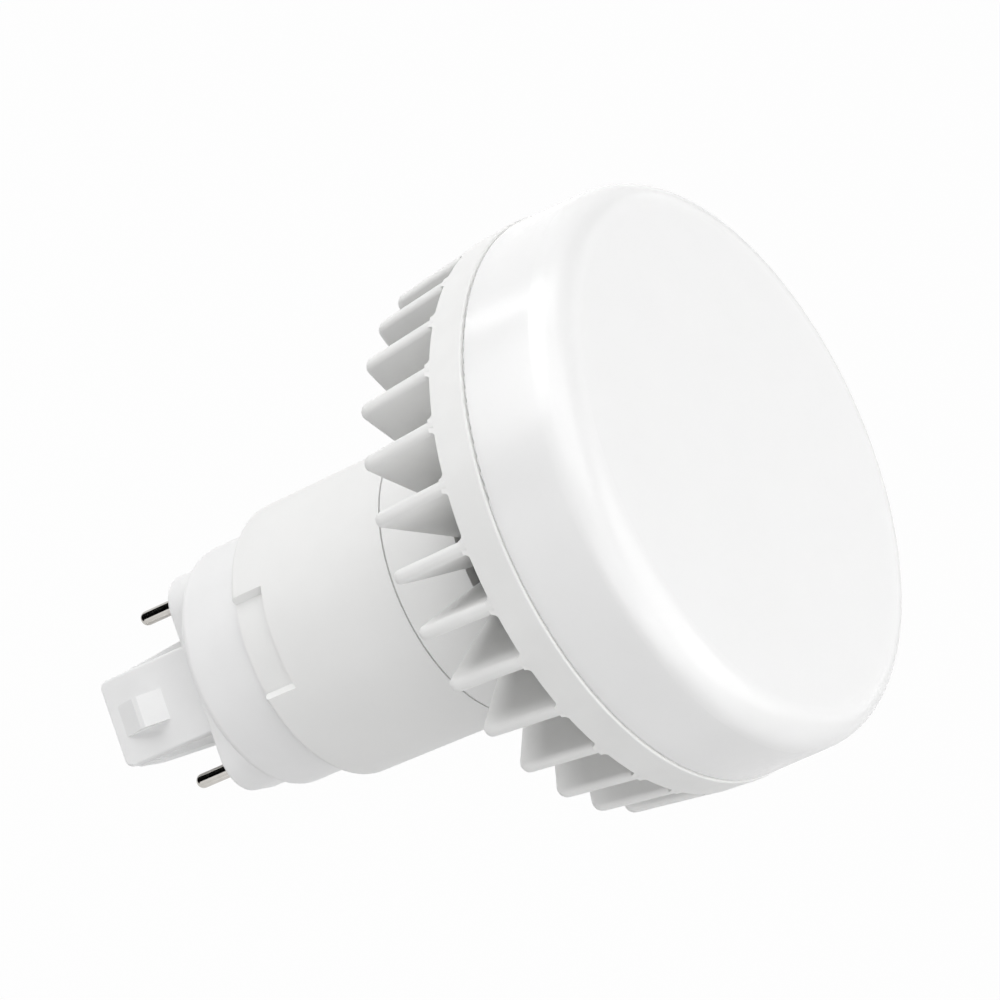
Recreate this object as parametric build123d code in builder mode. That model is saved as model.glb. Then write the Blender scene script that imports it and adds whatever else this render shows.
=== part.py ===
"""Plug-in LED lamp with a puck-shaped head and a four-pin cap.

Millimetres. The origin is the centre of the cap's seating face, where the contact pins come out.
+Z runs along the lamp from the cap to the diffuser, and +X runs along the longer pin spacing.
"""
import math
import os

from build123d import *

os.makedirs("parts", exist_ok=True)

# Cap: interface with the lampholder
pin_spacing_x = 23.0
pin_spacing_y = 8.0
pin_radius = 1.0
pin_length = 6.5
pin_shank_radius = 1.2
pin_tail = 2.6
pin_tail_radius = 0.8
pin_flange_radius = 1.4
pin_flange_thickness = 0.6
post_length = 16.3
post_half_width = 6.1
post_half_thickness = 4.6
post_wall = 1.5
key_root_half_width = 7.4
key_tip_half_width = 6.2
key_half_thickness = 2.6
post_corner = 1.2
post_edge = 0.4
key_edge = 0.2
latch_half_width = 2.15
latch_height = 1.8
latch_tip_offset = 1.8
latch_ramp = 3.8
latch_crest = 0.8
latch_back = 3.0

# Cap: moulding
block_side_margin = 3.6
block_face_margin = 3.0
block_corner = 5.0
block_height = 6.4
block_wall = 1.4
block_cavity_corner = 2.0
cap_floor = 3.0
cap_collar_radius = 16.75
cap_collar_length = 10.75
cap_collar_edge = 1.3
cap_wall = 1.6
spigot_length = 9.0

# Driver housing
housing_length = 24.9
housing_rim_wall = 2.1
housing_draft = 0.25
housing_rim_edge = 0.7
pocket_width = 12.2
pocket_length = 5.1
pocket_flare = 1.5
pocket_depth = 1.05
housing_spigot_length = 4.0
housing_spigot_wall = 1.0
rail_start = 2.9
rail_height = 1.6

# Collar under the heat sink
seam_gap = 0.25
collar_length = 10.6
collar_draft = 0.1
collar_end_wall = 2.0
lead_opening_radius = 5.5

# Heat sink
fin_count = 30
fin_height = 12.5
fin_thickness = 1.8
fin_draft = 1.5
fin_corner = 1.5
fin_edge = 0.8
fin_root_flare = 0.8
head_turn = 9.5
hub_radius = 15.5
hub_wall = 2.0
plate_thickness = 2.5
ring_height = 5.0
ring_top_radius = 38.25
ring_draft = 0.25
ring_wall = 2.65
ring_edge = 0.25
boss_radius = 3.2
boss_circle = 10.8
boss_count = 3
boss_angle = 60
lead_hole_radius = 4.0
groove_depth = 0.35

# Screws
screw_radius = 1.5
screw_length = 7.0
screw_head_radius = 2.8
screw_head_height = 1.8
screw_recess_depth = 1.0
screw_recess_width = 0.8

# Diffuser
diffuser_height = 15.0
diffuser_step = 0.2
diffuser_draft = 0.3
diffuser_corner = 4.6
diffuser_dome = 0.5
diffuser_wall = 1.8
diffuser_lip = 0.45
skirt_length = 1.8
skirt_wall = 1.5
snap_bead = 0.3

# LED board
led_board_margin = 2.4
led_board_thickness = 1.5
pad_thickness = 0.3
led_length = 3.5
led_width = 2.8
led_height = 0.75
led_inner_ring = (17.5, 12)
led_outer_count = 24
led_edge_margin = 5.2
terminal_length = 6.0
terminal_width = 4.8
terminal_height = 2.6
terminal_offset = 5.3

# Insulating bush
bush_wall = 1.25
bush_flange = 1.0
bush_flange_thickness = 0.8

# Driver board
board_side_gap = 3.25
board_thickness = 1.6
board_face_y = -4.2
board_foot_gap = 2.4
board_top_gap = 3.4

# Components on the driver board
transformer_x = 2.5
transformer_can_gap = 3.0
transformer_lead_gap = 2.05
core_width = 13.0
core_height = 11.5
core_depth = 5.0
core_leg = 3.8
core_yoke = 2.0
core_side = 1.7
bobbin_wall = 0.5
bobbin_flange = 0.7
bobbin_depth = 10.6
bobbin_foot_depth = 2.0
bobbin_foot_gap = 1.0
input_can_radius = 5.0
input_can_length = 16.0
input_can_x = 6.8
input_can_foot = 2.5
output_can_radius = 4.0
output_can_length = 12.0
output_can_z = 30.0
film_size = (5.5, 11.0, 13.0)
film_place = (-9.75, 20.5)
choke_radius = 3.6
choke_height = 8.5
choke_flange = 1.2
choke_core_radius = 1.6
choke_place = (-8.3, 34.5)
varistor_radius = 3.5
varistor_thickness = 3.2
varistor_place = (-4.0, 16.0)
fuse_radius = 2.0
fuse_height = 8.0
fuse_place = (-3.6, 24.0)
resistor_radius = 1.6
resistor_length = 9.0
resistor_z = 11.5
resistor_places = (-7.5, -2.5, 2.5, 7.5)
bridge_size = (4.8, 2.5, 4.0)
bridge_place = (-6.0, 25.0)
chip_size = (5.0, 1.5, 4.0)
chip_place = (5.0, 25.0)
transistor_size = (6.6, 2.3, 6.1)
transistor_place = (8.0, 33.0)
diode_size = (4.4, 2.2, 2.7)
diode_place = (-8.0, 33.0)

# Leads
lead_radius = 0.65
solder_gap = 0.1
front_solder_inset = 3.3
back_solder_inset = 2.4
output_solder_inset = 2.5

# Clearances
fit_clearance = 0.1
pin_clearance = 0.02
slip_clearance = 0.15

# Stations along the lamp, worked out from the lengths above
rim_z = block_height + cap_collar_length
seam_z = rim_z + housing_length
collar_z = seam_z + seam_gap
fin_z = collar_z + collar_length
plate_z = fin_z + fin_height
floor_z = plate_z + plate_thickness
ring_z = plate_z + ring_height
front_z = ring_z + diffuser_height
led_board_z = floor_z + pad_thickness
led_face_z = led_board_z + led_board_thickness

# Fits worked out from the pieces that carry them
block_half_width = pin_spacing_x / 2 + block_side_margin
block_half_depth = pin_spacing_y / 2 + block_face_margin
housing_bore = cap_collar_radius + fit_clearance
housing_spigot_radius = housing_bore + housing_spigot_wall
housing_rim_radius = housing_bore + housing_rim_wall
housing_seam_radius = housing_rim_radius + housing_draft
pocket_floor_radius = housing_rim_radius - pocket_depth
collar_bore = housing_spigot_radius + fit_clearance
collar_radius = housing_seam_radius + collar_draft
fin_root_radius = ring_top_radius - ring_draft
fin_tip_radius = fin_root_radius - fin_draft
ring_bore = ring_top_radius - ring_wall
diffuser_rim_radius = ring_top_radius - diffuser_step
diffuser_front_radius = diffuser_rim_radius - diffuser_draft
skirt_radius = ring_bore - slip_clearance
skirt_bore = skirt_radius - skirt_wall
bead_z = ring_z - skirt_length / 2
led_board_radius = ring_bore - led_board_margin
led_rings = (led_inner_ring, (led_board_radius - led_edge_margin, led_outer_count))
bush_radius = lead_hole_radius - fit_clearance / 2
bush_bore = bush_radius - bush_wall
board_hole_radius = lead_hole_radius + 0.5
terminal_x = board_hole_radius + terminal_offset
screw_hole_radius = screw_radius + pin_clearance
screw_pass_radius = screw_radius + fit_clearance
board_half_width = housing_bore - board_side_gap
board_back_y = board_face_y - board_thickness
board_bottom = block_height + block_wall + board_foot_gap
board_top = fin_z - collar_end_wall - board_top_gap
input_can_z = board_bottom + input_can_foot
output_solder_z = board_top - output_solder_inset
pin_places = [
    (side * pin_spacing_x / 2, depth * pin_spacing_y / 2)
    for side in (1, -1)
    for depth in (1, -1)
]


def finish(part, name):
    """Name a finished piece and write it out."""
    part.label = name
    export_step(part, f"parts/{name}.step")


# Keyed post: a flat bar with rounded tip corners, and a second bar that ends in a tapered rib each side
post_bars = []
for depth, root_half_width, tip_half_width, edge_radius in (
    (post_half_thickness, post_half_width, post_half_width, post_edge),
    (key_half_thickness, key_root_half_width, key_tip_half_width, key_edge),
):
    with BuildPart() as post_bar:
        with BuildSketch(Plane.XZ) as bar_outline:
            with BuildLine():
                Polyline(
                    (-root_half_width, 0),
                    (root_half_width, 0),
                    (tip_half_width, -post_length),
                    (-tip_half_width, -post_length),
                    close=True,
                )
            make_face()
            fillet(bar_outline.vertices().sort_by(Axis.Y)[:2], post_corner)
        extrude(amount=depth, both=True)
        long_edges = [
            edge
            for side in (Axis.Y, -Axis.Y)
            for edge in post_bar.faces().sort_by(side)[-1].edges()
            if edge.center().Z < -0.1
        ]
        fillet(long_edges, edge_radius)
    post_bars.append(post_bar.part)

# Base cap: collar, end block, keyed post and latch lugs in one moulding
latch_start = -post_length + latch_tip_offset
with BuildPart() as base_cap:
    with BuildSketch(Plane.XZ):
        with BuildLine():
            Polyline(
                (0, block_height),
                (cap_collar_radius, block_height),
                (cap_collar_radius, rim_z + spigot_length),
                (0, rim_z + spigot_length),
                close=True,
            )
        make_face()
    revolve(axis=Axis.Z)
    fillet(base_cap.edges().filter_by(GeomType.CIRCLE).sort_by(Axis.Z)[0], cap_collar_edge)
    with BuildSketch(Plane.XY):
        RectangleRounded(2 * block_half_width, 2 * block_half_depth, block_corner)
    extrude(amount=block_height + cap_collar_edge)
    fillet(base_cap.faces().sort_by(Axis.Z)[0].edges(), 0.5)
    add(post_bars)
    with BuildSketch(Plane.YZ):
        with BuildLine():
            Polyline(
                (post_half_thickness - post_wall / 2, latch_start),
                (post_half_thickness, latch_start),
                (post_half_thickness + latch_height, latch_start + latch_ramp),
                (post_half_thickness + latch_height, latch_start + latch_ramp + latch_crest),
                (post_half_thickness, latch_start + latch_ramp + latch_crest + latch_back),
                (post_half_thickness - post_wall / 2, latch_start + latch_ramp + latch_crest + latch_back),
                close=True,
            )
        make_face()
        mirror(about=Plane.YZ)
    extrude(amount=latch_half_width, both=True)
    # Hollow moulding, open at the top
    with BuildSketch(Plane.XY.offset(block_height + block_wall)):
        Circle(cap_collar_radius - cap_wall)
    extrude(amount=rim_z + spigot_length, mode=Mode.SUBTRACT)
    with BuildSketch(Plane.XY.offset(cap_floor)):
        RectangleRounded(
            2 * (block_half_width - block_wall),
            2 * (block_half_depth - block_wall),
            block_cavity_corner,
        )
    extrude(amount=block_height + block_wall - cap_floor, mode=Mode.SUBTRACT)
    with BuildSketch(Plane.XY.offset(-post_length + post_wall)):
        Rectangle(2 * (post_half_width - post_wall), 2 * (post_half_thickness - post_wall))
    extrude(amount=post_length + cap_floor, mode=Mode.SUBTRACT)
    with BuildSketch(Plane.XY):
        with Locations(*pin_places):
            Circle(pin_shank_radius + pin_clearance)
    extrude(amount=cap_floor, mode=Mode.SUBTRACT)
finish(base_cap.part, "base_cap")


# Contact pins: rounded end, thicker shank in the cap's floor, flange seated on it, tail for the lead
for index, place in enumerate(pin_places, start=1):
    with BuildPart() as contact_pin:
        with BuildSketch(Plane.XZ):
            with BuildLine():
                CenterArc((0, -pin_length + pin_radius), pin_radius, 270, 90)
                Polyline(
                    (pin_radius, -pin_length + pin_radius),
                    (pin_radius, 0),
                    (pin_shank_radius, 0),
                    (pin_shank_radius, cap_floor),
                    (pin_flange_radius, cap_floor),
                    (pin_flange_radius, cap_floor + pin_flange_thickness),
                    (pin_tail_radius, cap_floor + pin_flange_thickness),
                    (pin_tail_radius, cap_floor + pin_tail),
                    (0, cap_floor + pin_tail),
                    (0, -pin_length),
                )
            make_face()
        revolve(axis=Axis.Z)
    finish(contact_pin.part.moved(Location((*place, 0))), f"contact_pin_{index}")


# Driver housing: the neck, with a rim pocket on each wide side and rails for the board
rail_z = rim_z + spigot_length + rail_start
pocket_side_y = math.sqrt(pocket_floor_radius**2 - (pocket_width / 2) ** 2)
with BuildPart() as driver_housing:
    with BuildSketch(Plane.XZ):
        with BuildLine():
            Polyline(
                (housing_bore, rim_z),
                (housing_rim_radius, rim_z),
                (housing_seam_radius, seam_z),
                (housing_spigot_radius, seam_z),
                (housing_spigot_radius, seam_z + housing_spigot_length),
                (housing_bore, seam_z + housing_spigot_length),
                close=True,
            )
        make_face()
    revolve(axis=Axis.Z)
    fillet(driver_housing.faces().sort_by(Axis.Z)[0].edges().sort_by(SortBy.RADIUS)[-1], housing_rim_edge)
    # Pockets with sloping sides
    with BuildSketch(Plane.XY.offset(rim_z)):
        with BuildLine():
            Polyline(
                (-pocket_width / 2, pocket_side_y),
                (pocket_width / 2, pocket_side_y),
                (pocket_width / 2 + 2 * pocket_flare, pocket_side_y + 2 * pocket_flare),
                (-pocket_width / 2 - 2 * pocket_flare, pocket_side_y + 2 * pocket_flare),
                close=True,
            )
        make_face()
        with BuildLine():
            RadiusArc(
                (-pocket_width / 2, pocket_side_y), (pocket_width / 2, pocket_side_y), pocket_floor_radius
            )
            Line((pocket_width / 2, pocket_side_y), (-pocket_width / 2, pocket_side_y))
        make_face(mode=Mode.SUBTRACT)
        mirror(about=Plane.XZ)
    extrude(amount=pocket_length, mode=Mode.SUBTRACT)
    with BuildSketch(Plane.XY.offset(rail_z)):
        with Locations((0, board_face_y - board_thickness / 2)):
            Rectangle(2 * housing_seam_radius, board_thickness + 2 * fit_clearance + 2 * rail_height)
            Rectangle(
                2 * (board_half_width + fit_clearance),
                board_thickness + 2 * fit_clearance,
                mode=Mode.SUBTRACT,
            )
        Rectangle(
            2 * (board_half_width - rail_height), 2 * housing_seam_radius, mode=Mode.SUBTRACT
        )
        Circle((housing_bore + housing_rim_radius) / 2, mode=Mode.INTERSECT)
    extrude(amount=seam_z - rail_z)
finish(driver_housing.part, "driver_housing")


# Housing collar: takes the housing's spigot and screws to the heat sink's bosses
with BuildPart() as housing_collar:
    with BuildSketch(Plane.XZ):
        with BuildLine():
            Polyline(
                (lead_opening_radius, fin_z),
                (collar_radius, fin_z),
                (housing_seam_radius, collar_z),
                (collar_bore, collar_z),
                (collar_bore, fin_z - collar_end_wall),
                (lead_opening_radius, fin_z - collar_end_wall),
                close=True,
            )
        make_face()
    revolve(axis=Axis.Z)
    with BuildSketch(Plane.XY.offset(fin_z - collar_end_wall)):
        with PolarLocations(boss_circle, boss_count, start_angle=boss_angle):
            Circle(screw_pass_radius)
    extrude(amount=collar_end_wall, mode=Mode.SUBTRACT)
finish(housing_collar.part, "housing_collar")


# Heat sink: plate, ring and hub are turned forms, the fins are one plate repeated
with BuildPart() as fin:
    with BuildSketch(Plane.XZ) as fin_outline:
        with BuildLine():
            Polyline(
                (hub_radius - hub_wall / 2, fin_z),
                (fin_tip_radius, fin_z),
                (fin_root_radius, plate_z),
                (fin_root_radius - ring_wall / 2, plate_z + plate_thickness / 2),
                (hub_radius - hub_wall / 2, plate_z + plate_thickness / 2),
                close=True,
            )
        make_face()
        fillet(fin_outline.vertices().sort_by_distance((fin_tip_radius, fin_z))[0], fin_corner)
    extrude(amount=fin_thickness / 2, both=True)
    free_edges = [
        edge
        for side in (Axis.Y, -Axis.Y)
        for edge in fin.faces().sort_by(side)[-1].edges()
        if edge.center().Z < plate_z and edge.center().X > hub_radius
    ]
    fillet(free_edges, fin_edge)
    # Flared root, which gives the gaps between fins their rounded corners
    flare_half_width = fin_thickness / 2 + fin_root_flare
    with BuildSketch(Plane(origin=(hub_radius, 0, plate_z), x_dir=(0, 1, 0), z_dir=(1, 0, 0))):
        with BuildLine():
            CenterArc((flare_half_width, -fin_root_flare), fin_root_flare, 90, 90)
            Line((fin_thickness / 2, -fin_root_flare), (-fin_thickness / 2, -fin_root_flare))
            CenterArc((-flare_half_width, -fin_root_flare), fin_root_flare, 0, 90)
            Polyline(
                (-flare_half_width, 0),
                (-flare_half_width, plate_thickness / 2),
                (flare_half_width, plate_thickness / 2),
                (flare_half_width, 0),
            )
        make_face()
    extrude(amount=fin_root_radius - hub_radius - 0.1)

with BuildPart() as heat_sink:
    with BuildSketch(Plane.XZ):
        with BuildLine():
            Polyline(
                (lead_hole_radius, plate_z),
                (fin_root_radius, plate_z),
                (ring_top_radius, ring_z),
                (ring_bore, ring_z),
                (ring_bore, bead_z + groove_depth + fit_clearance),
                (ring_bore + groove_depth, bead_z),
                (ring_bore, bead_z - groove_depth - fit_clearance),
                (ring_bore, floor_z),
                (lead_hole_radius, floor_z),
                close=True,
            )
        make_face()
    revolve(axis=Axis.Z)
    fillet(heat_sink.faces().sort_by(Axis.Z)[-1].edges().sort_by(SortBy.RADIUS)[-1], ring_edge)
    with BuildSketch(Plane.XY.offset(fin_z)):
        Circle(hub_radius)
        Circle(hub_radius - hub_wall, mode=Mode.SUBTRACT)
        with PolarLocations(boss_circle, boss_count, start_angle=boss_angle):
            Circle(boss_radius)
    extrude(amount=fin_height + plate_thickness / 2)
    with PolarLocations(0, fin_count, start_angle=head_turn):
        add(fin.part)
    for hole_z, direction in ((fin_z, 1), (floor_z, -1)):
        with BuildSketch(Plane.XY.offset(hole_z)):
            with PolarLocations(boss_circle, boss_count, start_angle=boss_angle):
                Circle(screw_hole_radius)
        extrude(amount=direction * (screw_length - 0.5), mode=Mode.SUBTRACT)
finish(heat_sink.part, "heat_sink")


# Diffuser: opal cup with a rounded rim, a skirt inside the ring and a snap bead
dome_radius = (diffuser_front_radius**2 + diffuser_dome**2) / (2 * diffuser_dome)
inner_front_radius = diffuser_front_radius - diffuser_wall
with BuildPart() as diffuser:
    with BuildSketch(Plane.XZ) as diffuser_section:
        with BuildLine():
            Polyline(
                (0, front_z - diffuser_wall),
                (inner_front_radius, front_z - diffuser_wall - diffuser_dome),
                (diffuser_rim_radius - diffuser_wall, ring_z + skirt_wall),
                (skirt_bore, ring_z + skirt_wall),
                (skirt_bore, ring_z - skirt_length),
                (skirt_radius, ring_z - skirt_length),
                (skirt_radius, bead_z - snap_bead),
                (skirt_radius + snap_bead, bead_z),
                (skirt_radius, bead_z + snap_bead),
                (skirt_radius, ring_z),
                (diffuser_rim_radius, ring_z),
                (diffuser_front_radius, front_z - diffuser_dome),
            )
            RadiusArc((diffuser_front_radius, front_z - diffuser_dome), (0, front_z), -dome_radius)
            Line((0, front_z), (0, front_z - diffuser_wall))
        make_face()
        rim_corners = diffuser_section.vertices().sort_by_distance(
            (diffuser_front_radius, front_z - diffuser_dome)
        )
        fillet(rim_corners[0], diffuser_corner)
        lip_corners = diffuser_section.vertices().sort_by_distance((diffuser_rim_radius, ring_z))
        fillet(lip_corners[0], diffuser_lip)
        inner_corners = diffuser_section.vertices().sort_by_distance(
            (inner_front_radius, front_z - diffuser_wall - diffuser_dome)
        )
        fillet(inner_corners[0], diffuser_corner - diffuser_wall)
    revolve(axis=Axis.Z)
finish(diffuser.part, "diffuser")


# Thermal pad and LED board, both with a lead hole and screw holes
for name, bottom, thickness in (
    ("thermal_pad", floor_z, pad_thickness),
    ("led_board", led_board_z, led_board_thickness),
):
    with BuildPart() as disc:
        with BuildSketch(Plane.XY.offset(bottom)):
            Circle(led_board_radius)
            Circle(board_hole_radius, mode=Mode.SUBTRACT)
            with PolarLocations(boss_circle, boss_count, start_angle=boss_angle):
                Circle(screw_pass_radius, mode=Mode.SUBTRACT)
        extrude(amount=thickness)
    finish(disc.part, name)


# Light sources: two rings of surface-mounted packages
with BuildPart() as led_packages:
    with BuildSketch(Plane.XY.offset(led_face_z)):
        for ring_radius, ring_count in led_rings:
            with PolarLocations(ring_radius, ring_count):
                Rectangle(led_width, led_length)
    extrude(amount=led_height)
finish(led_packages.part, "led_packages")


# Terminal on the LED board: entries for the two output leads face the lead hole
lead_pitch = 2 * lead_radius + 0.6
terminal_entry_z = led_face_z + terminal_height / 2
with BuildPart() as board_terminal:
    with BuildSketch(Plane.XY.offset(led_face_z)):
        with Locations((terminal_x, 0)):
            Rectangle(terminal_length, terminal_width)
    extrude(amount=terminal_height)
    fillet(board_terminal.faces().sort_by(Axis.Z)[-1].edges(), 0.3)
    with BuildSketch(Plane.YZ.offset(terminal_x - terminal_length / 2)):
        with Locations((lead_pitch / 2, terminal_entry_z), (-lead_pitch / 2, terminal_entry_z)):
            Circle(lead_radius + pin_clearance)
    extrude(amount=terminal_length / 2, mode=Mode.SUBTRACT)
finish(board_terminal.part, "board_terminal")


# Screws: domed head with a cross recess, shank from the head's seat
def screw_at(seat):
    """A screw whose shank runs along the plane's normal from its seat."""
    with BuildPart() as screw:
        with BuildSketch(Plane.XZ):
            with BuildLine():
                Polyline(
                    (0, screw_length),
                    (screw_radius - 0.4, screw_length),
                    (screw_radius, screw_length - 0.8),
                    (screw_radius, 0),
                    (screw_head_radius, 0),
                    (screw_head_radius, -screw_head_height),
                    (0, -screw_head_height),
                    close=True,
                )
            make_face()
        revolve(axis=Axis.Z)
        fillet(screw.faces().sort_by(Axis.Z)[0].edges(), 0.6 * screw_head_height)
        with BuildSketch(Plane.XY.offset(-screw_head_height)):
            Rectangle(2.4 * screw_radius, screw_recess_width)
            Rectangle(screw_recess_width, 2.4 * screw_radius)
        extrude(amount=screw_recess_depth, mode=Mode.SUBTRACT)
    return seat.location * screw.part


for name, seat_z, direction in (
    ("board_screws", led_face_z, -1),
    ("collar_screws", fin_z - collar_end_wall, 1),
):
    screws = [
        screw_at(Plane(origin=place.position + Vector(0, 0, seat_z), z_dir=(0, 0, direction)))
        for place in PolarLocations(boss_circle, boss_count, start_angle=boss_angle)
    ]
    finish(Compound(children=screws), name)


# Bush that keeps the leads off the plate's edge
with BuildPart() as lead_bush:
    with BuildSketch(Plane.XZ):
        with BuildLine():
            Polyline(
                (bush_bore, plate_z - bush_flange_thickness),
                (lead_hole_radius + bush_flange, plate_z - bush_flange_thickness),
                (lead_hole_radius + bush_flange, plate_z),
                (bush_radius, plate_z),
                (bush_radius, floor_z),
                (bush_bore, floor_z),
                close=True,
            )
        make_face()
    revolve(axis=Axis.Z)
finish(lead_bush.part, "lead_bush")


# Driver board: stands along the neck, its edges in the housing's rails
with BuildPart() as driver_board:
    with BuildSketch(Plane.XZ.offset(-board_back_y)):
        with Locations((0, (board_bottom + board_top) / 2)):
            RectangleRounded(2 * board_half_width, board_top - board_bottom, 1.0)
    extrude(amount=-board_thickness)
finish(driver_board.part, "driver_board")


# Planes on the two faces of the driver board, with their normals pointing away from it
def on_front(x, z):
    return Plane(origin=(x, board_face_y, z), x_dir=(1, 0, 0), z_dir=(0, 1, 0))


def on_back(x, z):
    return Plane(origin=(x, board_back_y, z), x_dir=(1, 0, 0), z_dir=(0, -1, 0))


# Transformer: two-window core around a wound bobbin that stands on the board. The length that is left
# between the input capacitor and the output leads is shared out in the ratio of the two gaps.
spare_length = output_solder_z - lead_radius - bobbin_depth - (input_can_z + input_can_length)
can_gap = spare_length * transformer_can_gap / (transformer_can_gap + transformer_lead_gap)
transformer_z = input_can_z + input_can_length + can_gap + bobbin_depth / 2
window_height = core_height - 2 * core_yoke
window_width = (core_width - core_leg) / 2 - core_side
bobbin_width = core_leg + 2 * (window_width - fit_clearance)
barrel_width = core_leg + 2 * (bobbin_wall + fit_clearance)
barrel_depth = core_depth + 2 * (bobbin_wall + fit_clearance)
barrel_bottom = bobbin_foot_gap + core_yoke + fit_clearance
barrel_height = window_height - 2 * fit_clearance
core_plane = Plane(origin=(transformer_x, board_face_y + bobbin_foot_gap, transformer_z))
with BuildPart() as transformer_core:
    with BuildSketch(core_plane):
        with Locations((0, core_height / 2)):
            Rectangle(core_width, core_height)
            with GridLocations(core_leg + window_width, 0, 2, 1):
                Rectangle(window_width, window_height, mode=Mode.SUBTRACT)
    extrude(amount=core_depth / 2, both=True)
finish(transformer_core.part, "transformer_core")

with BuildPart() as transformer_bobbin:
    with BuildSketch(on_front(transformer_x, transformer_z).offset(barrel_bottom)):
        Rectangle(barrel_width, barrel_depth)
    extrude(amount=barrel_height)
    for flange_bottom in (barrel_bottom, barrel_bottom + barrel_height - bobbin_flange):
        with BuildSketch(on_front(transformer_x, transformer_z).offset(flange_bottom)):
            Rectangle(bobbin_width, bobbin_depth)
        extrude(amount=bobbin_flange)
    with BuildSketch(on_front(transformer_x, transformer_z)):
        with GridLocations(0, bobbin_depth - bobbin_foot_depth, 1, 2):
            Rectangle(bobbin_width, bobbin_foot_depth)
    extrude(amount=barrel_bottom + bobbin_flange)
    with BuildSketch(on_front(transformer_x, transformer_z)):
        Rectangle(core_leg + 2 * fit_clearance, core_depth + 2 * fit_clearance)
    extrude(amount=barrel_bottom + barrel_height, mode=Mode.SUBTRACT)
finish(transformer_bobbin.part, "transformer_bobbin")

with BuildPart() as transformer_winding:
    with BuildSketch(on_front(transformer_x, transformer_z).offset(barrel_bottom + bobbin_flange)):
        RectangleRounded(bobbin_width - 2 * fit_clearance, bobbin_depth - 2 * bobbin_wall, 1.5)
        Rectangle(barrel_width, barrel_depth, mode=Mode.SUBTRACT)
    extrude(amount=barrel_height - 2 * bobbin_flange)
finish(transformer_winding.part, "transformer_winding")


# Electrolytic capacitors: crimped cans that lie along the board
def can_at(x, y, z, radius, length):
    crimp = radius / 10
    with BuildPart() as can:
        with BuildSketch(Plane.XZ):
            with BuildLine():
                Polyline(
                    (0, 0),
                    (radius - crimp, 0),
                    (radius, crimp),
                    (radius, 4 * crimp),
                    (radius - crimp, 5 * crimp),
                    (radius, 6 * crimp),
                    (radius, length - crimp),
                    (radius - crimp, length),
                    (0, length),
                    close=True,
                )
            make_face()
        revolve(axis=Axis.Z)
    return can.part.moved(Location((x, y, z)))


input_can_y = board_face_y + input_can_radius
output_can_y = board_back_y - output_can_radius
finish(
    can_at(input_can_x, input_can_y, input_can_z, input_can_radius, input_can_length),
    "input_capacitor",
)
finish(
    can_at(0, output_can_y, output_can_z, output_can_radius, output_can_length),
    "output_capacitor",
)


# Film capacitor: potted box
film_width, film_height, film_length = film_size
with BuildPart() as film_capacitor:
    with BuildSketch(on_front(*film_place)):
        Rectangle(film_width, film_length)
    extrude(amount=film_height)
    fillet(film_capacitor.faces().sort_by(Axis.Y)[-1].edges(), 0.5)
finish(film_capacitor.part, "film_capacitor")


# Choke: flanged drum core with its winding between the flanges
with BuildPart() as choke_core:
    for flange_bottom in (0, choke_height - choke_flange):
        with BuildSketch(on_front(*choke_place).offset(flange_bottom)):
            Circle(choke_radius)
        extrude(amount=choke_flange)
    with BuildSketch(on_front(*choke_place)):
        Circle(choke_core_radius)
    extrude(amount=choke_height)
finish(choke_core.part, "choke_core")

with BuildPart() as choke_winding:
    with BuildSketch(on_front(*choke_place).offset(choke_flange)):
        Circle(choke_radius - 0.3)
        Circle(choke_core_radius, mode=Mode.SUBTRACT)
    extrude(amount=choke_height - 2 * choke_flange)
finish(choke_winding.part, "choke_winding")


# Surge varistor: coated disc on two legs, standing across the board
varistor_x, varistor_z = varistor_place
varistor_y = board_face_y + varistor_radius + 0.8
with BuildPart() as surge_varistor:
    with BuildSketch(Plane.YZ.offset(varistor_x)):
        with Locations((varistor_y, varistor_z)):
            Circle(varistor_radius)
    extrude(amount=varistor_thickness / 2, both=True)
    fillet(surge_varistor.edges().filter_by(GeomType.CIRCLE), 0.6)
    with BuildSketch(on_front(varistor_x, varistor_z)):
        with GridLocations(0, varistor_radius, 1, 2):
            Circle(0.4)
    extrude(amount=varistor_radius)
finish(surge_varistor.part, "surge_varistor")


# Line fuse: small radial can
with BuildPart() as line_fuse:
    with BuildSketch(on_front(*fuse_place)):
        Circle(fuse_radius)
    extrude(amount=fuse_height)
    fillet(line_fuse.faces().sort_by(Axis.Y)[-1].edges(), 0.4)
finish(line_fuse.part, "line_fuse")


# Cathode resistors: one for each contact pin, side by side on the back of the board
resistor_y = board_back_y - resistor_radius
resistors = []
for resistor_x in resistor_places:
    with BuildPart() as resistor:
        with BuildSketch(Plane.XY.offset(resistor_z)):
            with Locations((resistor_x, resistor_y)):
                Circle(resistor_radius)
        extrude(amount=resistor_length)
        fillet(resistor.edges().filter_by(GeomType.CIRCLE), 0.4)
    resistors.append(resistor.part)
finish(Compound(children=resistors), "cathode_resistors")


# Flat packages on the back of the board, each on two rows of formed legs
def package_at(place, size, leg_count):
    width, height, length = size
    with BuildPart() as package:
        with BuildSketch(on_back(*place).offset(0.1 * height)):
            Rectangle(width, length)
        extrude(amount=0.9 * height)
        chamfer(package.faces().sort_by(Axis.Y)[0].edges(), 0.15 * height)
        with BuildSketch(on_back(*place)):
            with GridLocations(0, length, 1, 2):
                with GridLocations(0.8 * width / leg_count, 0, leg_count, 1):
                    Rectangle(0.4 * width / leg_count, 1.6)
        extrude(amount=0.35 * height)
    return package.part


for name, place, size, leg_count in (
    ("bridge_rectifier", bridge_place, bridge_size, 2),
    ("control_chip", chip_place, chip_size, 4),
    ("switch_transistor", transistor_place, transistor_size, 2),
    ("output_diode", diode_place, diode_size, 1),
):
    finish(package_at(place, size, leg_count), name)


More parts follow.
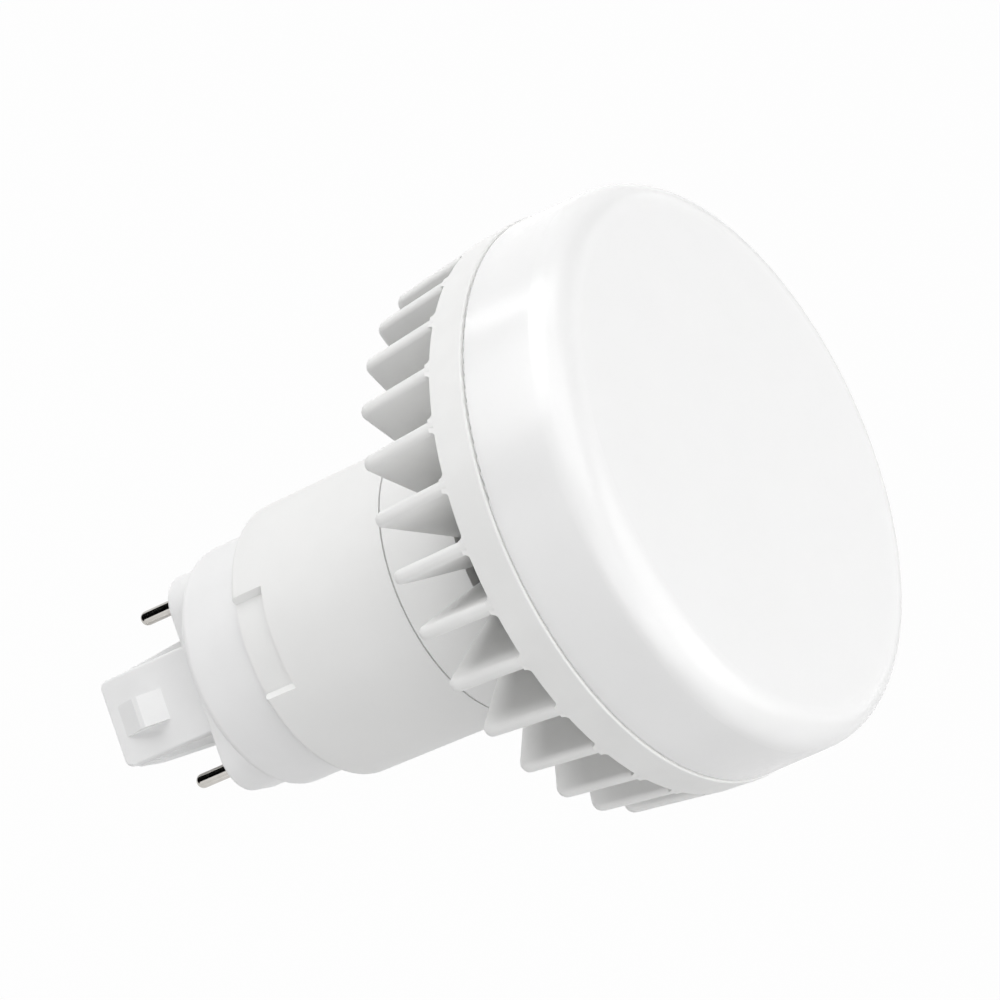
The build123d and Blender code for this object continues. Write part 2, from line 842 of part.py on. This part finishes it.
# Leads: round insulated wire along a smooth route
def lead_along(points, tangents):
    with BuildPart() as lead:
        with BuildLine() as route:
            Spline(*points, tangents=tangents)
        with BuildSketch(Plane(origin=route.line @ 0, z_dir=route.line % 0)):
            Circle(lead_radius)
        sweep(path=route.line)
    return lead.part


# Pin leads: the pair at +Y solders to the front of the board and the pair at -Y to its back
pin_top = cap_floor + pin_tail
for index, (pin_x, pin_y) in enumerate(pin_places, start=1):
    side = 1 if pin_x > 0 else -1
    if pin_y > 0:
        front_x = side * (board_half_width - front_solder_inset)
        route_points = [
            (pin_x, pin_y, pin_top),
            (front_x + 0.5 * side, pin_y / 2, pin_top + 3.6),
            (front_x, board_face_y + solder_gap, board_bottom + 1.6),
        ]
        end_tangent = (0, -1, 0)
    else:
        back_x = side * (board_half_width - back_solder_inset)
        route_points = [
            (pin_x, pin_y, pin_top),
            (back_x + 0.3 * side, pin_y - 0.7, block_height + block_wall),
            (back_x + 0.3 * side, board_back_y - 1.3, board_bottom + 0.3),
            (back_x, board_back_y - solder_gap, board_bottom + 2.9),
        ]
        end_tangent = (0, 1, 0)
    finish(lead_along(route_points, [(0, 0, 1), end_tangent]), f"pin_lead_{index}")


# Output leads: from the top of the driver board, through the bush, to the terminal
for name, side in (("positive_lead", 1), ("negative_lead", -1)):
    lane_y = side * lead_pitch / 2
    route_points = [
        (2.4 * side, board_face_y + solder_gap, output_solder_z),
        (1.8 * side, board_face_y / 2 + lane_y / 2, collar_z + 0.85 * collar_length),
        (0.3, lane_y, plate_z - bush_flange_thickness),
        (0.3, lane_y, floor_z),
        (terminal_x - terminal_length / 2, lane_y, terminal_entry_z),
        (terminal_x - terminal_length / 2 + 1.5, lane_y, terminal_entry_z),
    ]
    finish(lead_along(route_points, [(0, 1, 0), (1, 0, 0)]), name)
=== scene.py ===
import math

import bpy
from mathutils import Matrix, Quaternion, Vector


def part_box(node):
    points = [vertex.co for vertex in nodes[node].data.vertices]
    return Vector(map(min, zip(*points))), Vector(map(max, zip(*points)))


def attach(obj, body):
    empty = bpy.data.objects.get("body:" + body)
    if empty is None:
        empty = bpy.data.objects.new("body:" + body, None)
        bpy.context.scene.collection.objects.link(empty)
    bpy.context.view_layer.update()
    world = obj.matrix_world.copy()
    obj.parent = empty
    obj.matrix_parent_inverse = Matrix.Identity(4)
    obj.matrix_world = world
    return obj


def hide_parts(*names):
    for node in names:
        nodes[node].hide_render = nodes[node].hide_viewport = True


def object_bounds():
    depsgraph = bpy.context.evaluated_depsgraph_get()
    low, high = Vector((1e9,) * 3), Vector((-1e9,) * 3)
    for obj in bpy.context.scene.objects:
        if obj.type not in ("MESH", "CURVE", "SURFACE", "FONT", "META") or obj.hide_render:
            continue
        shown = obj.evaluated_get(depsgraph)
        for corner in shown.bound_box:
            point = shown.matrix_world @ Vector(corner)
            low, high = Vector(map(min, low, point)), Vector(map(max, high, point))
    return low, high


# Plug-in LED lamp: an opal puck on a finned heat sink, a driver housing and a keyed four-pin cap.
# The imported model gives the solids. This script adds the finishes, the wire turns, the light and
# the view.

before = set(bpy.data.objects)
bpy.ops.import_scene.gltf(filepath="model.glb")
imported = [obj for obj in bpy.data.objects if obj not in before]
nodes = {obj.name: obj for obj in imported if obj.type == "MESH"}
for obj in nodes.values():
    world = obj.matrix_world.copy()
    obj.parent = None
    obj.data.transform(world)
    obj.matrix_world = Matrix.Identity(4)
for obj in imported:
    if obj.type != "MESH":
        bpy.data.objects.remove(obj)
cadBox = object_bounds()
mm = 0.001
print("frame loaded:", len(nodes), "nodes")


# Shared tools for objects, shader trees and geometry trees

noiseRange = (0.3, 0.7)  # nearly all of a noise's values lie between these
driftDetail = 3.0
grainDetail = 2.0
evenScatter = (1.0, 1.0, 1.0)  # red, green and blue light go in equally deep


def linearColour(hexColour):
    # The numbers are the sRGB standard's own
    channels = [int(hexColour[i:i + 2], 16) / 255 for i in (0, 2, 4)]
    linear = [c / 12.92 if c <= 0.04045 else ((c + 0.055) / 1.055) ** 2.4 for c in channels]
    return (*linear, 1.0)


def addObject(name, data):
    thing = bpy.data.objects.new(name, data)
    bpy.context.collection.objects.link(thing)
    return thing


def addNode(tree, kind, values=None, links=None, **settings):
    node = tree.nodes.new(kind)
    for name, value in settings.items():
        setattr(node, name, value)
    for socket, value in (values or {}).items():
        node.inputs[socket].default_value = value
    for socket, source in (links or {}).items():
        tree.links.new(source, node.inputs[socket])
    return node


def startMaterial(name):
    material = bpy.data.materials.new(name)
    material.use_nodes = True
    material.node_tree.nodes.clear()
    return material, material.node_tree


def grainNoise(tree, sizeMm, detail, stretch=None):
    # Noise on the piece's own coordinates, its scale worked out from a grain size in millimetres
    where = addNode(tree, "ShaderNodeTexCoord").outputs["Object"]
    if stretch:
        mapping = addNode(tree, "ShaderNodeMapping", {"Scale": stretch}, {"Vector": where})
        where = mapping.outputs["Vector"]
    values = {"Scale": 1 / (sizeMm * mm), "Detail": detail}
    return addNode(tree, "ShaderNodeTexNoise", values, {"Vector": where}).outputs["Fac"]


def spread(tree, source, low, high):
    # Carries the middle of a noise's range to the two values given
    values = {
        "From Min": noiseRange[0], "From Max": noiseRange[1], "To Min": low, "To Max": high,
    }
    return addNode(tree, "ShaderNodeMapRange", values, {"Value": source}).outputs["Result"]


def twoTone(tree, source, darkHex, lightHex):
    ramp = addNode(tree, "ShaderNodeValToRGB", links={"Fac": source})
    for i, hexColour in enumerate((darkHex, lightHex)):
        ramp.color_ramp.elements[i].position = noiseRange[i]
        ramp.color_ramp.elements[i].color = linearColour(hexColour)
    return ramp.outputs["Color"]


def speckledSurface(name, finish):
    # The common make-up: a slow drift of tone, and a fine grain in the gloss and the relief
    material, tree = startMaterial(name)
    drift = grainNoise(tree, finish["driftMm"], driftDetail)
    grain = grainNoise(tree, finish["grainMm"], grainDetail, finish.get("stretch"))
    bump = addNode(
        tree, "ShaderNodeBump",
        {"Strength": finish["bump"], "Distance": finish["depthMm"] * mm}, {"Height": grain},
    )
    shader = addNode(tree, "ShaderNodeBsdfPrincipled", finish["sockets"], {
        "Base Color": twoTone(tree, drift, finish["dark"], finish["light"]),
        "Roughness": spread(tree, grain, *finish["roughness"]),
        "Normal": bump.outputs["Normal"],
    })
    addNode(tree, "ShaderNodeOutputMaterial", links={"Surface": shader.outputs["BSDF"]})
    return material


def wear(piece, material):
    piece.data.materials.clear()
    piece.data.materials.append(material)
    for polygon in piece.data.polygons:
        polygon.material_index = 0


# Diffuser: moulded opal polycarbonate. Light goes a little way in, so shade on it is soft, and its
# skin has a satin gloss that shows the lamps as soft patches.
diffuserFinish = {
    "dark": "F6F6F5", "light": "F9F9F8", "driftMm": 22, "grainMm": 0.7,
    "roughness": (0.20, 0.26), "bump": 0.04, "depthMm": 0.02,
    "sockets": {
        "IOR": 1.585, "Subsurface Weight": 0.9, "Subsurface Scale": 1.5 * mm,
        "Subsurface Radius": evenScatter,
    },
}

# Heat sink: die-cast aluminium under a white powder coat, which flows out to a faint orange peel.
# The peel is about 1 mm across on the real one, so it is drawn at its own size.
heatSinkFinish = {
    "dark": "EDEDEC", "light": "F3F3F2", "driftMm": 9, "grainMm": 0.9,
    "roughness": (0.38, 0.50), "bump": 0.16, "depthMm": 0.04,
    "sockets": {"IOR": 1.5},
}

# The housing's and the cap's plastic: opaque, with a little light let in under the skin
opaquePlastic = {
    "IOR": 1.55, "Subsurface Weight": 0.1, "Subsurface Scale": 1.0 * mm,
    "Subsurface Radius": evenScatter,
}

# Driver housing and collar: moulded PBT from a fine spark-eroded tool. The real grain is under
# 0.1 mm, too fine to show, so it is drawn at 0.35 mm, and it only softens the gloss.
housingFinish = {
    "dark": "F0F0EF", "light": "F4F4F3", "driftMm": 16, "grainMm": 0.35,
    "roughness": (0.42, 0.52), "bump": 0.08, "depthMm": 0.02,
    "sockets": opaquePlastic,
}

# Base cap: the same kind of plastic in a slightly cooler white, moulded smoother, so it has a
# little more gloss.
capFinish = {
    "dark": "F1F1F1", "light": "F6F6F6", "driftMm": 12, "grainMm": 0.5,
    "roughness": (0.32, 0.42), "bump": 0.06, "depthMm": 0.02,
    "sockets": opaquePlastic,
}

# Contact pins: brass turned on a lathe and plated with bright nickel, so turning lines run round
# the pin and pull the highlights out along it.
pinFinish = {
    "dark": "BFBCB7", "light": "C9C6C1", "driftMm": 1.5, "grainMm": 0.12,
    "stretch": (0.08, 0.08, 1.0), "roughness": (0.06, 0.12), "bump": 0.02, "depthMm": 0.005,
    "sockets": {"Metallic": 1.0},
}

outerFinishes = {
    "diffuser": ("opal moulded polycarbonate", diffuserFinish),
    "heat_sink": ("white powder coat on die-cast aluminium", heatSinkFinish),
    "driver_housing": ("white moulded PBT", housingFinish),
    "housing_collar": ("white moulded PBT collar", housingFinish),
    "base_cap": ("smooth moulded PBT cap", capFinish),
}
for nodeName, (finishName, finish) in outerFinishes.items():
    wear(nodes[nodeName], speckledSurface(finishName, finish))

nickelPlate = speckledSurface("bright nickel plate on turned brass", pinFinish)
for nodeName in nodes:
    if nodeName.startswith("contact_pin"):
        wear(nodes[nodeName], nickelPlate)
print("outer finishes done")


# Inside pieces. None shows while the lamp is whole, and each still has its own finish.
innerFinishes = {
    # Solder resist over aluminium: a chalky white with the board's slight waviness
    "white solder resist on aluminium": {
        "pieces": ("led_board",), "dark": "E6E6E0", "light": "F1F1EC", "driftMm": 8,
        "grainMm": 0.4, "roughness": (0.45, 0.6), "bump": 0.1, "depthMm": 0.02,
        "sockets": {"IOR": 1.5},
    },
    # Silicone rubber loaded with ceramic powder: dull grey with pale grains
    "filled silicone pad": {
        "pieces": ("thermal_pad",), "dark": "84898F", "light": "9AA0A6", "driftMm": 1.2,
        "grainMm": 0.3, "roughness": (0.75, 0.9), "bump": 0.25, "depthMm": 0.03,
        "sockets": {"IOR": 1.43},
    },
    # Moulded nylon: a slightly waxy white
    "moulded nylon terminal": {
        "pieces": ("board_terminal",), "dark": "E2E0D8", "light": "EEECE6", "driftMm": 3,
        "grainMm": 0.2, "roughness": (0.4, 0.55), "bump": 0.1, "depthMm": 0.01,
        "sockets": {"IOR": 1.53},
    },
    # Zinc-plated steel: cool grey metal with a cloudy bloom
    "zinc-plated steel screw": {
        "pieces": ("board_screws", "collar_screws"), "dark": "A8ADB3", "light": "C9CDD1",
        "driftMm": 0.8, "grainMm": 0.15, "roughness": (0.25, 0.45), "bump": 0.1,
        "depthMm": 0.01, "sockets": {"Metallic": 1.0},
    },
    # Moulded rubber: near black and dull
    "moulded black rubber": {
        "pieces": ("lead_bush",), "dark": "1E1E1E", "light": "2A2A2A", "driftMm": 2,
        "grainMm": 0.2, "roughness": (0.6, 0.8), "bump": 0.2, "depthMm": 0.02,
        "sockets": {"IOR": 1.52},
    },
    # Green solder resist over glass laminate: a clear green, a little uneven over the glass
    "green resist on glass laminate": {
        "pieces": ("driver_board",), "dark": "1A5A2C", "light": "247039", "driftMm": 0.9,
        "grainMm": 0.5, "roughness": (0.3, 0.42), "bump": 0.12, "depthMm": 0.02,
        "sockets": {"IOR": 1.5},
    },
    # Sintered ferrite: dark grey ceramic, ground on its faces
    "sintered ferrite": {
        "pieces": ("transformer_core", "choke_core"), "dark": "2B2C2F", "light": "3A3B3F",
        "driftMm": 1, "grainMm": 0.12, "roughness": (0.4, 0.6), "bump": 0.15,
        "depthMm": 0.01, "sockets": {"IOR": 2.0},
    },
    # Black phenolic moulding: hard and slightly glossy
    "moulded phenolic bobbin": {
        "pieces": ("transformer_bobbin",), "dark": "141414", "light": "202020", "driftMm": 2,
        "grainMm": 0.2, "roughness": (0.35, 0.5), "bump": 0.08, "depthMm": 0.01,
        "sockets": {"IOR": 1.6},
    },
    # Shrink sleeve over a drawn aluminium can: dark blue film with a soft gloss
    "shrink-sleeved capacitor can": {
        "pieces": ("input_capacitor", "output_capacitor"), "dark": "1B2140",
        "light": "262D55", "driftMm": 3, "grainMm": 0.3, "roughness": (0.25, 0.35),
        "bump": 0.06, "depthMm": 0.01, "sockets": {"IOR": 1.54},
    },
    # Epoxy-potted film capacitor: glossy yellow box
    "potted polyester box": {
        "pieces": ("film_capacitor",), "dark": "D9A514", "light": "E8B92A", "driftMm": 3,
        "grainMm": 0.3, "roughness": (0.2, 0.3), "bump": 0.05, "depthMm": 0.01,
        "sockets": {"IOR": 1.55},
    },
    # Moulded epoxy packages: matt black with a fine eroded grain
    "moulded epoxy package": {
        "pieces": ("bridge_rectifier", "control_chip", "switch_transistor", "output_diode"),
        "dark": "18181A", "light": "252528", "driftMm": 1.2, "grainMm": 0.1,
        "roughness": (0.5, 0.65), "bump": 0.15, "depthMm": 0.01, "sockets": {"IOR": 1.55},
    },
    # Moulded thermoset fuse body: brown with a dull gloss
    "moulded fuse case": {
        "pieces": ("line_fuse",), "dark": "5A3120", "light": "6E3E2A", "driftMm": 1.5,
        "grainMm": 0.2, "roughness": (0.35, 0.5), "bump": 0.08, "depthMm": 0.01,
        "sockets": {"IOR": 1.55},
    },
    # Epoxy dipped over zinc oxide: blue, uneven and a little glossy
    "dipped epoxy varistor coat": {
        "pieces": ("surge_varistor",), "dark": "1D4C94", "light": "2A61AE", "driftMm": 1.5,
        "grainMm": 0.5, "roughness": (0.25, 0.4), "bump": 0.25, "depthMm": 0.04,
        "sockets": {"IOR": 1.55},
    },
    # Flameproof lacquer over ceramic: flat grey-green
    "lacquered ceramic resistor": {
        "pieces": ("cathode_resistors",), "dark": "9FA08A", "light": "B2B39D", "driftMm": 1,
        "grainMm": 0.2, "roughness": (0.5, 0.7), "bump": 0.15, "depthMm": 0.02,
        "sockets": {"IOR": 1.5},
    },
    # Silicone phosphor cast in a package: opaque lemon yellow with fine grains
    "cast silicone phosphor": {
        "pieces": ("led_packages",), "dark": "EBD066", "light": "F4DE85", "driftMm": 0.6,
        "grainMm": 0.08, "roughness": (0.35, 0.5), "bump": 0.1, "depthMm": 0.01,
        "sockets": {"IOR": 1.43},
    },
}

# Extruded PVC insulation in three colours: the same soft, slightly uneven gloss on each
insulation = {
    "driftMm": 2, "grainMm": 0.2, "roughness": (0.3, 0.4), "bump": 0.06, "depthMm": 0.01,
    "sockets": {"IOR": 1.53},
}
leadColours = {
    "white extruded PVC": {
        "pieces": ("pin_lead_1", "pin_lead_2", "pin_lead_3", "pin_lead_4"),
        "dark": "DEDEDC", "light": "EAEAE8",
    },
    "red extruded PVC": {"pieces": ("positive_lead",), "dark": "A81C1C", "light": "C02626"},
    "black extruded PVC": {"pieces": ("negative_lead",), "dark": "161616", "light": "222222"},
}
for finishName, colours in leadColours.items():
    innerFinishes[finishName] = insulation | colours

for finishName, finish in innerFinishes.items():
    surface = speckledSurface(finishName, finish)
    for nodeName in finish["pieces"]:
        wear(nodes[nodeName], surface)
print("inner finishes done")


# Wire turns on the transformer and the choke: enamelled copper, a warm metal under a clear lacquer
copperFinish = {
    "dark": "B4662F", "light": "C87A3E", "driftMm": 1.0, "grainMm": 0.1,
    "stretch": (0.2, 1.0, 0.2), "roughness": (0.22, 0.34), "bump": 0.05, "depthMm": 0.005,
    "sockets": {"Metallic": 1.0, "Coat Weight": 0.6, "Coat Roughness": 0.12},
}
enamelledCopper = speckledSurface("enamelled copper wire", copperFinish)

windings = {
    "transformer_winding": {
        "wireMm": 0.42, "cornerMm": 1.2, "profilePoints": 8, "cornerPoints": 5,
    },
    "choke_winding": {
        "wireMm": 0.5, "cornerMm": 3.3, "profilePoints": 8, "cornerPoints": 8,
    },
}
wireShare = 0.98  # of the room for one turn, so that neighbouring turns stay apart

# The tree's inputs: name, kind and the value that stands until a winding gives its own
turnInputs = {
    "width": ("Width", "NodeSocketFloat", 8 * mm),
    "height": ("Height", "NodeSocketFloat", 8 * mm),
    "corner": ("Corner radius", "NodeSocketFloat", 1 * mm),
    "cornerPoints": ("Corner points", "NodeSocketInt", 5),
    "wire": ("Wire radius", "NodeSocketFloat", 0.2 * mm),
    "profilePoints": ("Profile points", "NodeSocketInt", 8),
    "turns": ("Turns", "NodeSocketInt", 10),
    "start": ("First turn", "NodeSocketVector", (0, 0, 0)),
    "step": ("Step", "NodeSocketVector", (0, 0.4 * mm, 0)),
    "surface": ("Surface", "NodeSocketMaterial", None),
}


def addInput(tree, name, kind, value):
    socket = tree.interface.new_socket(name=name, in_out="INPUT", socket_type=kind)
    socket.default_value = value
    return socket.identifier


def windingTree():
    # One turn is a rounded rectangle of wire, repeated along Y from the first turn to the last
    tree = bpy.data.node_groups.new("wire turns", "GeometryNodeTree")
    tree.interface.new_socket(
        name="Turns of wire", in_out="OUTPUT", socket_type="NodeSocketGeometry",
    )
    sockets = {key: addInput(tree, *wanted) for key, wanted in turnInputs.items()}
    given = addNode(tree, "NodeGroupInput").outputs
    path = addNode(
        tree, "GeometryNodeCurvePrimitiveQuadrilateral",
        links={"Width": given["Width"], "Height": given["Height"]},
    )
    rounded = addNode(
        tree, "GeometryNodeFilletCurve", {"Limit Radius": True},
        {
            "Curve": path.outputs["Curve"], "Radius": given["Corner radius"],
            "Count": given["Corner points"],
        },
        mode="POLY",
    )
    upright = addNode(
        tree, "GeometryNodeTransform", {"Rotation": (math.pi / 2, 0, 0)},
        {"Geometry": rounded.outputs["Curve"]},
    )
    section = addNode(
        tree, "GeometryNodeCurvePrimitiveCircle",
        links={"Radius": given["Wire radius"], "Resolution": given["Profile points"]},
    )
    turn = addNode(
        tree, "GeometryNodeCurveToMesh",
        links={"Curve": upright.outputs["Geometry"], "Profile Curve": section.outputs["Curve"]},
    )
    places = addNode(
        tree, "GeometryNodeMeshLine",
        links={
            "Count": given["Turns"], "Start Location": given["First turn"],
            "Offset": given["Step"],
        },
    )
    copies = addNode(
        tree, "GeometryNodeInstanceOnPoints",
        links={"Points": places.outputs["Mesh"], "Instance": turn.outputs["Mesh"]},
    )
    real = addNode(
        tree, "GeometryNodeRealizeInstances", links={"Geometry": copies.outputs["Instances"]},
    )
    smooth = addNode(
        tree, "GeometryNodeSetShadeSmooth", links={"Geometry": real.outputs["Geometry"]},
    )
    dressed = addNode(
        tree, "GeometryNodeSetMaterial",
        links={"Geometry": smooth.outputs["Geometry"], "Material": given["Surface"]},
    )
    addNode(tree, "NodeGroupOutput", links={0: dressed.outputs["Geometry"]})
    return tree, sockets


def bakeTree(name, tree, sockets, values):
    # Runs the tree on an empty mesh and keeps the result as a plain mesh object
    holder = addObject(name + "_source", bpy.data.meshes.new(name + "_source"))
    modifier = holder.modifiers.new("turns", "NODES")
    modifier.node_group = tree
    for key, value in values.items():
        modifier[sockets[key]] = value
    evaluated = holder.evaluated_get(bpy.context.evaluated_depsgraph_get())
    mesh = bpy.data.meshes.new_from_object(evaluated)
    bpy.data.objects.remove(holder)
    return addObject(name, mesh)


turnTree, turnSockets = windingTree()
for nodeName, winding in windings.items():
    low, high = (Vector(corner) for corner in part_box(nodeName))
    radius = winding["wireMm"] * mm / 2
    turnCount = int((high.y - low.y) / (2 * radius))
    step = (high.y - low.y - 2 * radius) / (turnCount - 1)
    middle = (low + high) / 2
    piece = bakeTree(nodeName + "_turns", turnTree, turnSockets, {
        "width": high.x - low.x - 2 * radius,
        "height": high.z - low.z - 2 * radius,
        "corner": winding["cornerMm"] * mm - radius,
        "cornerPoints": winding["cornerPoints"],
        "wire": radius * wireShare,
        "profilePoints": winding["profilePoints"],
        "turns": turnCount,
        "start": (middle.x, low.y + radius, middle.z),
        "step": (0, step, 0),
        "surface": enamelledCopper,
    })
    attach(piece, "root")
    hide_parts(nodeName)
print("wire turns done")


# View: the camera stands where the photograph's did, and the lamp fills the frame at the same tilt
view = {
    "place": Vector((-80.83, 545.22, 373.66)) * mm,
    "target": Vector((7.217, 0.0, 49.576)) * mm,
    "roll": 65.808,  # degrees, turned clockwise as the camera sees it
    "lens": 180, "sensor": 36,
    "nearest": 0.05, "farthest": 20,  # metres, what the camera can see
}
ahead = (view["target"] - view["place"]).normalized()
turn = ahead.to_track_quat("-Z", "Y") @ Quaternion((0, 0, 1), math.radians(view["roll"]))

camera = addObject("camera", bpy.data.cameras.new("camera"))
camera.location = view["place"]
camera.rotation_mode = "QUATERNION"
camera.rotation_quaternion = turn
camera.data.lens = view["lens"]
camera.data.sensor_width = view["sensor"]
camera.data.clip_start = view["nearest"]
camera.data.clip_end = view["farthest"]
bpy.context.scene.camera = camera

# The photograph's own directions, in which the lamps and the card are placed
pictureRight = turn @ Vector((1, 0, 0))
pictureUp = turn @ Vector((0, 1, 0))
towardsCamera = turn @ Vector((0, 0, 1))


def wayInPicture(right, up, near):
    return (pictureRight * right + pictureUp * up + towardsCamera * near).normalized()


# Lamps: soft panels, given by direction (right, up, towards the camera), distance, size and power.
# The main one stands above and to the left of the neck, and three light the face from the right.
# The rest are weaker and lift the diffuser's wall, the neck and the edges, so the lower fins are
# left in the deepest shade.
lamps = {
    "neckPanel": {"way": (-0.70, 0.70, 0.20), "distance": 1.0, "size": 1.0, "watts": 7.6},
    "facePanel": {"way": (1.00, 0.00, 0.40), "distance": 1.0, "size": 1.0, "watts": 4.7},
    "cameraPanel": {"way": (0.00, 0.60, 0.80), "distance": 1.0, "size": 1.0, "watts": 3.6},
    "wallPanel": {"way": (0.10, -0.50, 0.85), "distance": 1.0, "size": 1.0, "watts": 3.5},
    "lowFacePanel": {"way": (0.60, -0.50, 0.60), "distance": 1.0, "size": 1.0, "watts": 2.5},
    "behindFacePanel": {"way": (0.80, 0.30, -0.40), "distance": 1.0, "size": 1.0, "watts": 2.2},
    "lowPanel": {"way": (0.10, -1.00, 0.20), "distance": 1.0, "size": 1.0, "watts": 1.0},
    "lowNeckPanel": {"way": (-0.50, -0.45, 0.75), "distance": 1.0, "size": 1.0, "watts": 1.1},
    "backPanel": {"way": (0.00, 0.70, -0.70), "distance": 1.0, "size": 1.0, "watts": 0.9},
    "topPanel": {"way": (0.00, 1.00, 0.20), "distance": 1.0, "size": 0.4, "watts": 0.9},
}
for lampName, lamp in lamps.items():
    data = bpy.data.lights.new(lampName, "AREA")
    data.shape = "SQUARE"
    data.size = lamp["size"]
    data.energy = lamp["watts"]
    panel = addObject(lampName, data)
    way = wayInPicture(*lamp["way"])
    panel.location = view["target"] + way * lamp["distance"]
    panel.rotation_mode = "QUATERNION"
    panel.rotation_quaternion = (-way).to_track_quat("-Z", "Y")

# World: a plain soft light, and white where the camera or a reflection sees it
skyStrength = 0.01
whiteStrength = 1.0
pureWhite = (1, 1, 1, 1)
world = bpy.data.worlds.new("studio")
bpy.context.scene.world = world
world.use_nodes = True
world.node_tree.nodes.clear()


def seenDirectly(tree):
    # 1 for camera, glossy and transmission rays, 0 for the rays that carry light
    path = addNode(tree, "ShaderNodeLightPath").outputs
    seen = path["Is Camera Ray"]
    for ray in ("Is Glossy Ray", "Is Transmission Ray"):
        larger = addNode(tree, "ShaderNodeMath", links={0: seen, 1: path[ray]}, operation="MAXIMUM")
        seen = larger.outputs[0]
    return seen


sky = world.node_tree
level = addNode(
    sky, "ShaderNodeMapRange",
    {"To Min": skyStrength, "To Max": whiteStrength}, {"Value": seenDirectly(sky)},
)
glow = addNode(
    sky, "ShaderNodeBackground", {"Color": pureWhite}, {"Strength": level.outputs["Result"]},
)
addNode(sky, "ShaderNodeOutputWorld", links={"Surface": glow.outputs["Background"]})


def flatSquare(name, half, height):
    mesh = bpy.data.meshes.new(name)
    mesh.from_pydata(
        [
            (-half, -half, height), (half, -half, height),
            (half, half, height), (-half, half, height),
        ],
        [], [(0, 1, 2, 3)],
    )
    return addObject(name, mesh)


# Floor: far under the lamp, which hangs free as in the photograph, so its soft shadow stays out of
# the frame. White is the share of it that the camera sees as plain white, the rest is lit paper.
floor = {"belowMm": 1100, "halfWidth": 4.0, "white": 0.985, "paper": "F4F4F4"}
floorPiece = flatSquare("floor", floor["halfWidth"], cadBox[0][2] - floor["belowMm"] * mm)
floorMaterial, tree = startMaterial("white paper sweep")
paper = addNode(tree, "ShaderNodeBsdfDiffuse", {"Color": linearColour(floor["paper"])})
white = addNode(tree, "ShaderNodeEmission", {"Color": pureWhite, "Strength": whiteStrength})
share = addNode(
    tree, "ShaderNodeMath", {1: floor["white"]}, {0: seenDirectly(tree)}, operation="MULTIPLY",
)
mixed = addNode(
    tree, "ShaderNodeMixShader",
    links={0: share.outputs[0], 1: paper.outputs["BSDF"], 2: white.outputs["Emission"]},
)
addNode(tree, "ShaderNodeOutputMaterial", links={"Surface": mixed.outputs["Shader"]})
wear(floorPiece, floorMaterial)

# Dark card: stands beside the cap out of frame and shows only in reflections, so the bright pins
# have a dark stripe. Its direction is given as the lamps' are.
card = {
    "way": (-0.88, 0.22, 0.12), "distance": 0.14, "size": 0.22, "aboveTipMm": 12,
    "shade": "060606",
}
pinMiddle = (Vector(cadBox[0]) + Vector(cadBox[1])) / 2
pinMiddle.z = cadBox[0][2] + card["aboveTipMm"] * mm
way = wayInPicture(*card["way"])
cardPiece = flatSquare("dark_card", card["size"] / 2, 0)
cardPiece.location = pinMiddle + way * card["distance"]
cardPiece.rotation_mode = "QUATERNION"
cardPiece.rotation_quaternion = way.to_track_quat("Z", "Y")
cardMaterial, tree = startMaterial("black card")
matt = addNode(tree, "ShaderNodeBsdfDiffuse", {"Color": linearColour(card["shade"])})
addNode(tree, "ShaderNodeOutputMaterial", links={"Surface": matt.outputs["BSDF"]})
wear(cardPiece, cardMaterial)
cardPiece.visible_camera = False
cardPiece.visible_diffuse = False
cardPiece.visible_shadow = False

bpy.context.scene.view_settings.view_transform = "Standard"
print("view, lamps and floor done")
